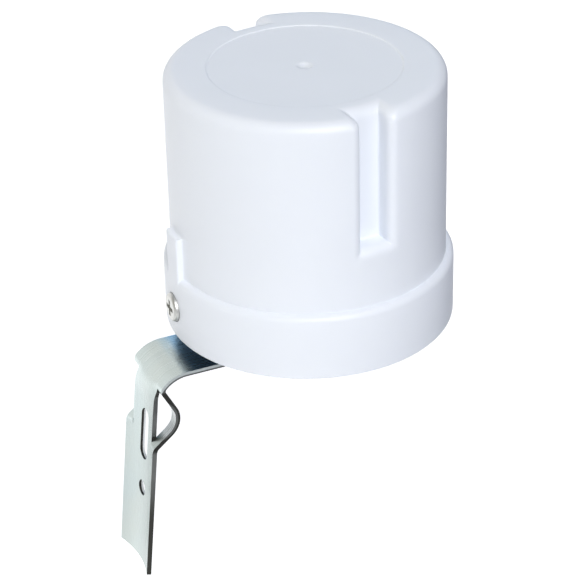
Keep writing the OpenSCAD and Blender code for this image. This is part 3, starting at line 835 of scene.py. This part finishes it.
class Finish(Shading):
    """A procedural finish on the piece's own coordinates."""

    def __init__(self, name):
        self.material = bpy.data.materials.new(name)
        super().__init__(self.material, "Object")
        self.shader = self.nodes["Principled BSDF"]

    def shade(self, **inputs):
        """Sets sockets of the shader and gives the material."""
        for name, value in inputs.items():
            self.fill(self.shader.inputs[name.replace("_", " ")], value)
        return self.material

    def coat(self, grain, strength, depth, **inputs):
        """Sets sockets of the shader, raises the surface by a grain and gives the material."""
        bump = self.node("Bump", Height=grain, Strength=strength, Distance=depth)
        return self.shade(Normal=bump.outputs["Normal"], **inputs)

    def torn(self):
        """Streaks across a torn or shorn edge."""
        return self.noise(1.0, 5.0, self.stretched(900.0, 2600.0, 900.0))

    def behind_leg(self, path):
        """Distance of the surface behind the outer face of the bracket's leg."""
        out = in_frame(path.out)
        face = (HOUSING + in_frame(path.leg_top)).dot(out)
        level = self.maths("DOT_PRODUCT", self.place, out, kind="VectorMath")
        return self.maths("SUBTRACT", face, level)

    def offsets(self, spot):
        """Distances along X and Z from a spot in the strip's plane."""
        axes = self.axes()
        place = HOUSING + in_frame(spot)
        return self.maths("SUBTRACT", axes["X"], place.x), self.maths("SUBTRACT", axes["Z"], place.z)

    def diagonal(self, along_x, along_z):
        """Length of two distances taken together."""
        both = self.node("CombineXYZ", X=along_x, Z=along_z).outputs["Vector"]
        return self.maths("LENGTH", both, kind="VectorMath")


def white_plastic(colours):
    """White moulded plastic, slightly translucent, with a fine grain."""
    finish = Finish("white_plastic")
    clouds = finish.between(finish.noise(45.0), 0.0, 1.0)
    return finish.coat(
        finish.noise(3200.0, 4.0), strength=0.08, depth=0.05 * MM,
        Base_Color=finish.mottled(clouds, colours.cap, 0.985),
        Roughness=finish.between(finish.noise(900.0), 0.36, 0.46),
        IOR=1.49,
        Subsurface_Weight=0.2,
        Subsurface_Radius=(1.0, 1.0, 1.1),
        Subsurface_Scale=2 * MM,
    )


# Stretches over which a painted reflection of the housing's shaded skirt turns the plating bluish from the
# bend's start, painted shade darkens it across the leg and above the round hole, and a painted reflection
# makes it pale and less metallic behind the leg's face and about its upper end, with the share of metal
# lost
HOUSING_REFLECTION_RUN = (0.0, 3 * MM)
SIDE_SHADE_ACROSS = (5 * MM, -6 * MM)
SIDE_SHADE_HEIGHT = (34 * MM, 27 * MM)
BRIDGE_REFLECTION_DEPTH = (2 * MM, 4 * MM)
BRIDGE_REFLECTION_HEIGHT = (2 * MM, -1 * MM)
BRIDGE_REFLECTION_SHARE = 0.6

# Stretches over which a cut edge goes from a painted highlight to painted shade below the bracket's top,
# keeps a line of painted shade by the inside of the bend, takes painted shade at the back of a bridge's
# belly and no farther, and turns pale on the far side
EDGE_HIGHLIGHT_HEIGHT = (-12 * MM, -4 * MM)
EDGE_SHADE_HEIGHT = (-28 * MM, -42 * MM)
BEND_SHADE_LINE = (0.3 * MM, 0.6 * MM)
BELLY_SHADE_LINE = (0.45 * MM, 0.85 * MM)
BELLY_SHADE_END = (4.4 * MM, 2.9 * MM)
FAR_SIDE = (0.0, 3 * MM)

# Shares of the strip's thickness between which a punched wall goes from shorn to torn
TORN_SHARES = (0.4, 0.6)


def zinc_plating(colours, path):
    """Bright zinc with rolling lines, a painted reflection of the housing by it, pale painted reflections
    on the bridges and painted shade on one side.
    """
    finish = Finish("zinc_plating")
    axes = finish.axes()
    # Painted reflection of the housing's shaded skirt: the plating turns bluish from the bend's start
    housing_reflection = finish.ramp(axes["X"], HOUSING_REFLECTION_RUN, HOUSING.x - path.sizes.bend_start)
    # Painted shade: darker plating across the near side of the leg, standing for a darker reflection
    side = finish.ramp(axes["Y"], SIDE_SHADE_ACROSS)
    side_shade = finish.maths("MULTIPLY", side, finish.ramp(axes["Z"], SIDE_SHADE_HEIGHT))
    # Painted reflection: pale, less metallic plating behind the leg's face on the bridges' bellies,
    # standing for a bright reflection
    behind = finish.ramp(finish.behind_leg(path), BRIDGE_REFLECTION_DEPTH)
    under = finish.ramp(axes["Z"], BRIDGE_REFLECTION_HEIGHT, HOUSING.z + path.leg_top.y)
    bridge_reflection = finish.maths("MULTIPLY", behind, under)
    clouds = finish.between(finish.noise(70.0, 4.0), 0.0, 0.8)
    tone = finish.blend(clouds, colours.zinc, colours.zinc_warm)
    tone = finish.blend(side_shade, tone, colours.zinc_side_shade)
    tone = finish.blend(bridge_reflection, tone, colours.torn)
    lines = finish.noise(1.0, 4.0, finish.stretched(60.0, 4200.0, 60.0))
    return finish.coat(
        finish.maths("ADD", lines, finish.noise(1500.0, 5.0)), strength=0.04, depth=0.02 * MM,
        Base_Color=finish.blend(housing_reflection, tone, colours.zinc_housing_reflection),
        Metallic=finish.maths("SUBTRACT", 1.0, finish.maths("MULTIPLY", bridge_reflection, BRIDGE_REFLECTION_SHARE)),
        Roughness=finish.between(lines, 0.24, 0.36),
    )


def sheared_zinc(colours, path):
    """Cut edge of the strip: a painted highlight at the bend, painted shade below, darkest low down and at
    a bridge's back.
    """
    finish = Finish("sheared_zinc")
    sizes = path.sizes
    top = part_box("bracket")[1].z
    axes = finish.axes()
    across, above = finish.offsets(path.centre)
    away = finish.diagonal(finish.maths("MINIMUM", across, 0.0), finish.maths("MAXIMUM", above, 0.0))
    # Painted highlight on the cut edge near the bracket's top, kept off a line of painted shade along the
    # inside of the bend
    clear_of_bend_shade = finish.ramp(away, BEND_SHADE_LINE, sizes.bend_radius - sizes.thickness)
    pale = finish.maths("MULTIPLY", finish.ramp(axes["Z"], EDGE_HIGHLIGHT_HEIGHT, top), clear_of_bend_shade)
    # Painted shade on the cut edge at the back of a bridge's belly and low down on the leg
    reach = finish.diagonal(*finish.offsets(path.belly_at))
    back = finish.ramp(reach, BELLY_SHADE_LINE, sizes.belly)
    back = finish.maths("MULTIPLY", back, finish.ramp(reach, BELLY_SHADE_END, sizes.belly))
    low = finish.maths("MAXIMUM", finish.ramp(axes["Z"], EDGE_SHADE_HEIGHT, top), back)
    dark = finish.blend(low, colours.shear_middle, colours.shear_shade_and_shorn)
    dark = finish.blend(finish.ramp(axes["Y"], FAR_SIDE), dark, colours.torn)
    torn = finish.torn()
    return finish.coat(
        torn, strength=0.1, depth=0.02 * MM,
        Base_Color=finish.blend(pale, dark, colours.shear_lit),
        Metallic=1.0,
        Roughness=finish.between(torn, 0.32, 0.48),
    )


def pierced_zinc(colours, path):
    """Wall of a punched hole: a dark shorn band by the leg's outer face and pale torn metal behind."""
    finish = Finish("pierced_zinc")
    band = [path.sizes.thickness * share for share in TORN_SHARES]
    share = finish.ramp(finish.behind_leg(path), band, path.sizes.trough)
    torn = finish.torn()
    return finish.coat(
        torn, strength=0.1, depth=0.02 * MM,
        Base_Color=finish.blend(share, colours.shear_shade_and_shorn, colours.torn),
        Metallic=finish.maths("SUBTRACT", 1.0, share),
        Roughness=finish.between(torn, 0.4, 0.6),
    )


def nickel_plating(colours):
    """Nickel plated screws with faint turning marks."""
    finish = Finish("nickel_plating")
    marks = finish.noise(1800.0, 5.0)
    return finish.coat(
        marks, strength=0.1, depth=0.02 * MM,
        Base_Color=finish.mottled(marks, colours.nickel, 0.85),
        Metallic=1.0,
        Roughness=finish.between(finish.noise(700.0), 0.36, 0.5),
    )


def black_moulding(colours):
    """Black plastic with a spark eroded texture."""
    finish = Finish("black_moulding")
    grain = finish.noise(1400.0, 6.0)
    return finish.coat(
        grain, strength=0.25, depth=0.06 * MM,
        Base_Color=finish.mottled(finish.noise(60.0), colours.black, 1.5),
        Roughness=finish.between(grain, 0.42, 0.6),
        Specular_IOR_Level=0.05,
    )


def soft_rubber(colours):
    """Matt rubber with a bloom."""
    finish = Finish("soft_rubber")
    bloom = finish.noise(250.0, 5.0)
    return finish.coat(
        finish.noise(2200.0, 4.0), strength=0.15, depth=0.04 * MM,
        Base_Color=finish.mottled(bloom, colours.rubber, 2.2),
        Roughness=finish.between(bloom, 0.65, 0.85),
    )


def board_mask(colours):
    """Green solder mask over copper tracks."""
    finish = Finish("board_mask")
    tracks = finish.node("TexVoronoi", {"feature": "DISTANCE_TO_EDGE"}, Vector=finish.place, Scale=260.0)
    edges = finish.maths("LESS_THAN", tracks.outputs["Distance"], TRACK_EDGE)
    return finish.coat(
        edges, strength=0.3, depth=0.04 * MM,
        Base_Color=finish.mottled(edges, colours.board, 2.2),
        Roughness=finish.between(finish.noise(800.0), 0.3, 0.42),
    )


# Width of the copper's edges, half the width of a colour band as a share of half the body's length,
# and how much rougher a body is in places
TRACK_EDGE = 0.12
BAND_HALF = 0.09
ROUGH_RANGE = 0.1

BLACK = (0.02, 0.02, 0.02)
BROWN = (0.12, 0.04, 0.02)
RED = (0.5, 0.03, 0.02)
ORANGE = (0.7, 0.22, 0.03)
GOLD = (0.5, 0.33, 0.08)
SILVER = (0.6, 0.6, 0.6)
BRASS = (0.66, 0.47, 0.18)
TINNED_BRASS = (0.72, 0.66, 0.52)
HOLDER_WHITE = (0.68, 0.68, 0.63)
HOLDER_PALE = (0.74, 0.74, 0.7)

Component = namedtuple("Component", "node name colour rough reach bands", defaults=(None, ()))

# Components on the board: half the body's length along X, or None where leads only go down, and
# the colour bands, each with its place along the body as a share of the half length
COMPONENTS = (
    Component("relay", "relay_case", (0.02, 0.09, 0.32), 0.38),
    Component("film_capacitor", "film_case", (0.62, 0.42, 0.03), 0.35),
    Component("smoothing_capacitor", "can_sleeve", (0.02, 0.022, 0.045), 0.32),
    Component("varistor", "varistor_coat", (0.02, 0.1, 0.34), 0.3),
    Component("rectifier_diodes", "diode_body", (0.015, 0.015, 0.015), 0.4, 2.6, ((0.72, SILVER),)),
    Component("zener_diode", "zener_glass", (0.5, 0.16, 0.05), 0.15, 1.9, ((0.65, BLACK),)),
    Component("switching_transistor", "transistor_body", (0.015, 0.015, 0.015), 0.42),
    Component(
        "dropper_resistor", "dropper_coat", (0.3, 0.34, 0.32), 0.5, 5.0,
        ((-0.7, BROWN), (-0.4, RED), (-0.1, ORANGE), (0.6, GOLD)),
    ),
    Component(
        "bleed_resistor", "bleed_coat", (0.52, 0.36, 0.2), 0.45, 3.15,
        ((-0.7, BROWN), (-0.35, BROWN), (0.0, ORANGE), (0.65, GOLD)),
    ),
    Component(
        "base_resistor", "base_coat", (0.52, 0.36, 0.2), 0.45, 3.15,
        ((-0.7, RED), (-0.35, RED), (0.0, BROWN), (0.65, GOLD)),
    ),
    Component("light_sensor", "sensor_face", (0.6, 0.2, 0.05), 0.2),
)


def component_finish(component, colours):
    """Body with colour bands, and tinned leads below and beside it."""
    finish = Finish(component.name)
    low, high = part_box(component.node)
    axes = finish.axes()
    leads = finish.maths("LESS_THAN", axes["Z"], BOARD_TOP)
    clouds = finish.noise(400.0, 4.0)
    body = finish.mottled(clouds, component.colour, 1.25)
    if component.reach:
        reach = component.reach * MM
        along = finish.maths("SUBTRACT", axes["X"], (low.x + high.x) / 2)
        past = finish.maths("GREATER_THAN", finish.maths("ABSOLUTE", along), reach)
        leads = finish.maths("MAXIMUM", leads, past)
        for share, colour in component.bands:
            away = finish.maths("ABSOLUTE", finish.maths("SUBTRACT", along, share * reach))
            body = finish.blend(finish.maths("LESS_THAN", away, BAND_HALF * reach), body, colour)
    return finish.coat(
        finish.noise(1600.0, 4.0), strength=0.1, depth=0.03 * MM,
        Base_Color=finish.blend(leads, body, colours.tin),
        Metallic=leads,
        Roughness=finish.between(clouds, component.rough, component.rough + ROUGH_RANGE),
    )


def holder_plastic():
    """Off-white plastic of the sensor's holder."""
    finish = Finish("holder_plastic")
    grain = finish.noise(1200.0, 5.0)
    return finish.coat(
        grain, strength=0.12, depth=0.04 * MM,
        Base_Color=finish.blend(finish.noise(120.0), HOLDER_WHITE, HOLDER_PALE),
        Roughness=finish.between(grain, 0.4, 0.55),
    )


def post_brass():
    """Tinned brass posts."""
    finish = Finish("post_brass")
    worn = finish.noise(900.0, 5.0)
    return finish.coat(
        worn, strength=0.1, depth=0.02 * MM,
        Base_Color=finish.blend(worn, BRASS, TINNED_BRASS),
        Metallic=1.0,
        Roughness=finish.between(worn, 0.25, 0.4),
    )


def dress(node, finish):
    """Gives a CAD node its finish."""
    materials = NODES[node].data.materials
    materials.clear()
    materials.append(finish)


class PHOTOCELL_OT_hardware(bpy.types.Operator):
    """Finishes the screws, the washers, the base, the seal and the grommet"""

    bl_idname = "photocell.hardware"
    bl_label = "Hardware and base"

    def execute(self, context):
        colours = context.scene.photocell_colours
        nickel = nickel_plating(colours)
        for node in ("side_screws", "bracket_screws", "bracket_washers", "board_screws"):
            dress(node, nickel)
        dress("base", black_moulding(colours))
        rubber = soft_rubber(colours)
        for node in ("seal_ring", "wire_grommet"):
            dress(node, rubber)
        return {"FINISHED"}


class PHOTOCELL_OT_electronics(bpy.types.Operator):
    """Finishes the circuit board and the components on it"""

    bl_idname = "photocell.electronics"
    bl_label = "Electronics"

    def execute(self, context):
        colours = context.scene.photocell_colours
        dress("circuit_board", board_mask(colours))
        for component in COMPONENTS:
            dress(component.node, component_finish(component, colours))
        dress("sensor_holder", holder_plastic())
        dress("wire_posts", post_brass())
        return {"FINISHED"}


# Lines on the floor beside the object, as X for each Y, and the stretches in metres over which the
# floor dims right of the first, glows sooner right of the second, and glows towards the back
RIGHT_LINE = 0.57
LEFT_LINE = 0.32
DIM_RUN = (0.1, 0.145)
SOONER_RUN = (-0.16, -0.09)
SOONER = 0.25
GLOW_RUN = (-0.04, 0.25)
GLOW = 0.6

# Stretches of direction along one axis over which the sky changes from side to side, the lit cloth
# changes, and the cloth ends on the right, in front and above
SKY_LEFT = (-1.0, 0.0)
SKY_RIGHT = (0.0, 1.0)
CLOTH_CHANGE = (0.12, 0.36)
CLOTH_RIGHT = (0.75, 0.45)
CLOTH_FRONT = (0.1, 0.5)
CLOTH_TOP = (0.8, 0.6)

# Camera's sensor in millimetres and its range in metres
SENSOR_WIDTH = 36.0
CLIP_START = 0.01
CLIP_END = 50.0


def studio_floor(colours):
    """Pale floor that glows behind the object, as a lit backdrop does, and is dim on its right."""
    finish = Finish("studio_floor")
    axes = finish.axes()
    left = finish.maths("SUBTRACT", axes["X"], finish.maths("MULTIPLY", axes["Y"], LEFT_LINE))
    right = finish.maths("SUBTRACT", axes["X"], finish.maths("MULTIPLY", axes["Y"], RIGHT_LINE))
    dim = finish.ramp(right, DIM_RUN)
    sooner = finish.ramp(left, SOONER_RUN, most=SOONER)
    glow = finish.ramp(finish.maths("ADD", axes["Y"], sooner), GLOW_RUN, most=GLOW)
    tone = finish.mottled(finish.noise(6.0), colours.floor, 0.99)
    return finish.shade(
        Base_Color=finish.blend(dim, tone, colours.floor_right),
        Roughness=0.85,
        Emission_Color=(1.0, 1.0, 1.0, 1.0),
        Emission_Strength=finish.maths("MULTIPLY", glow, finish.maths("SUBTRACT", 1.0, dim)),
    )


def key_light(sizes, colours, target):
    """Adds the large square light that faces the object."""
    place = Vector(sizes.key_place)
    facing = (target - place).to_track_quat("-Z", "Y").to_euler()
    bpy.ops.object.light_add(type="AREA", location=place, rotation=facing)
    light = bpy.context.object
    light.name = "key_light"
    light.data.shape = "SQUARE"
    light.data.size = sizes.key_size
    light.data.energy = sizes.key_power
    light.data.color = colours.key


def studio_sky(colours):
    """Soft light from all round, with a lit backdrop behind the object."""
    world = bpy.data.worlds.new("studio_sky")
    shading = Shading(world, "Generated")
    axes = shading.axes()
    sky = shading.blend(shading.ramp(axes["X"], SKY_LEFT), colours.sky_left, colours.sky_middle)
    sky = shading.blend(shading.ramp(axes["X"], SKY_RIGHT), sky, colours.sky_right)
    change = shading.ramp(axes["X"], CLOTH_CHANGE)
    cloth = shading.blend(change, colours.backdrop_left, colours.backdrop_right)
    share = shading.ramp(axes["X"], CLOTH_RIGHT)
    for axis, stretch in (("Y", CLOTH_FRONT), ("Z", CLOTH_TOP)):
        share = shading.maths("MULTIPLY", share, shading.ramp(axes[axis], stretch))
    shading.fill(shading.nodes["Background"].inputs["Color"], shading.blend(share, sky, cloth))
    return world


class PHOTOCELL_OT_stage(bpy.types.Operator):
    """Sets up the floor, the lights and the camera"""

    bl_idname = "photocell.stage"
    bl_label = "Studio"

    def execute(self, context):
        scene = context.scene
        sizes = scene.photocell_stage
        middle = (CAD_BOX[0] + CAD_BOX[1]) / 2
        floor_place = (middle.x, middle.y, CAD_BOX[0].z - sizes.floor_gap)
        bpy.ops.mesh.primitive_plane_add(size=sizes.floor_size, location=floor_place)
        floor = context.object
        floor.name = "studio_floor"
        floor.data.materials.append(studio_floor(scene.photocell_colours))
        scene.world = studio_sky(scene.photocell_colours)
        key_light(sizes, scene.photocell_colours, middle)
        place = Vector(sizes.camera_place)
        sight = (Vector(sizes.camera_target) - place).to_track_quat("-Z", "Y")
        facing = sight.to_matrix() @ Matrix.Rotation(sizes.camera_roll, 3, "Z")
        bpy.ops.object.camera_add(location=place, rotation=facing.to_euler())
        camera = context.object
        camera.data.sensor_width = SENSOR_WIDTH
        camera.data.lens = sizes.lens
        camera.data.clip_start = CLIP_START
        camera.data.clip_end = CLIP_END
        camera.data.dof.use_dof = False
        scene.camera = camera
        scene.view_settings.view_transform = "Standard"
        return {"FINISHED"}


STEPS = (
    PHOTOCELL_OT_stage,
    PHOTOCELL_OT_cap,
    PHOTOCELL_OT_bracket,
    PHOTOCELL_OT_hardware,
    PHOTOCELL_OT_electronics,
)


class PHOTOCELL_PT_panel(bpy.types.Panel):
    """Lists the steps that build the switch"""

    bl_idname = "PHOTOCELL_PT_panel"
    bl_label = "Photocell switch"
    bl_space_type = "VIEW_3D"
    bl_region_type = "UI"
    bl_category = "Photocell"

    def draw(self, context):
        for step in STEPS:
            self.layout.operator(step.bl_idname)


GROUPS = (
    ("photocell_cap", PhotocellCapSizes),
    ("photocell_bracket", PhotocellBracketSizes),
    ("photocell_colours", PhotocellColours),
    ("photocell_stage", PhotocellStageSizes),
)


def register():
    """Adds the sizes, the steps and the panel to Blender."""
    for name, group in GROUPS:
        bpy.utils.register_class(group)
        setattr(bpy.types.Scene, name, bpy.props.PointerProperty(type=group))
    for step in STEPS:
        bpy.utils.register_class(step)
    bpy.utils.register_class(PHOTOCELL_PT_panel)


def unregister():
    """Takes the panel, the steps and the sizes out again."""
    bpy.utils.unregister_class(PHOTOCELL_PT_panel)
    for step in reversed(STEPS):
        bpy.utils.unregister_class(step)
    for name, group in reversed(GROUPS):
        delattr(bpy.types.Scene, name)
        bpy.utils.unregister_class(group)


def main():
    """Builds the whole switch."""
    register()
    bpy.ops.photocell.stage()
    bpy.ops.photocell.cap()
    bpy.ops.photocell.bracket()
    bpy.ops.photocell.hardware()
    bpy.ops.photocell.electronics()


if __name__ == "__main__":
    main()
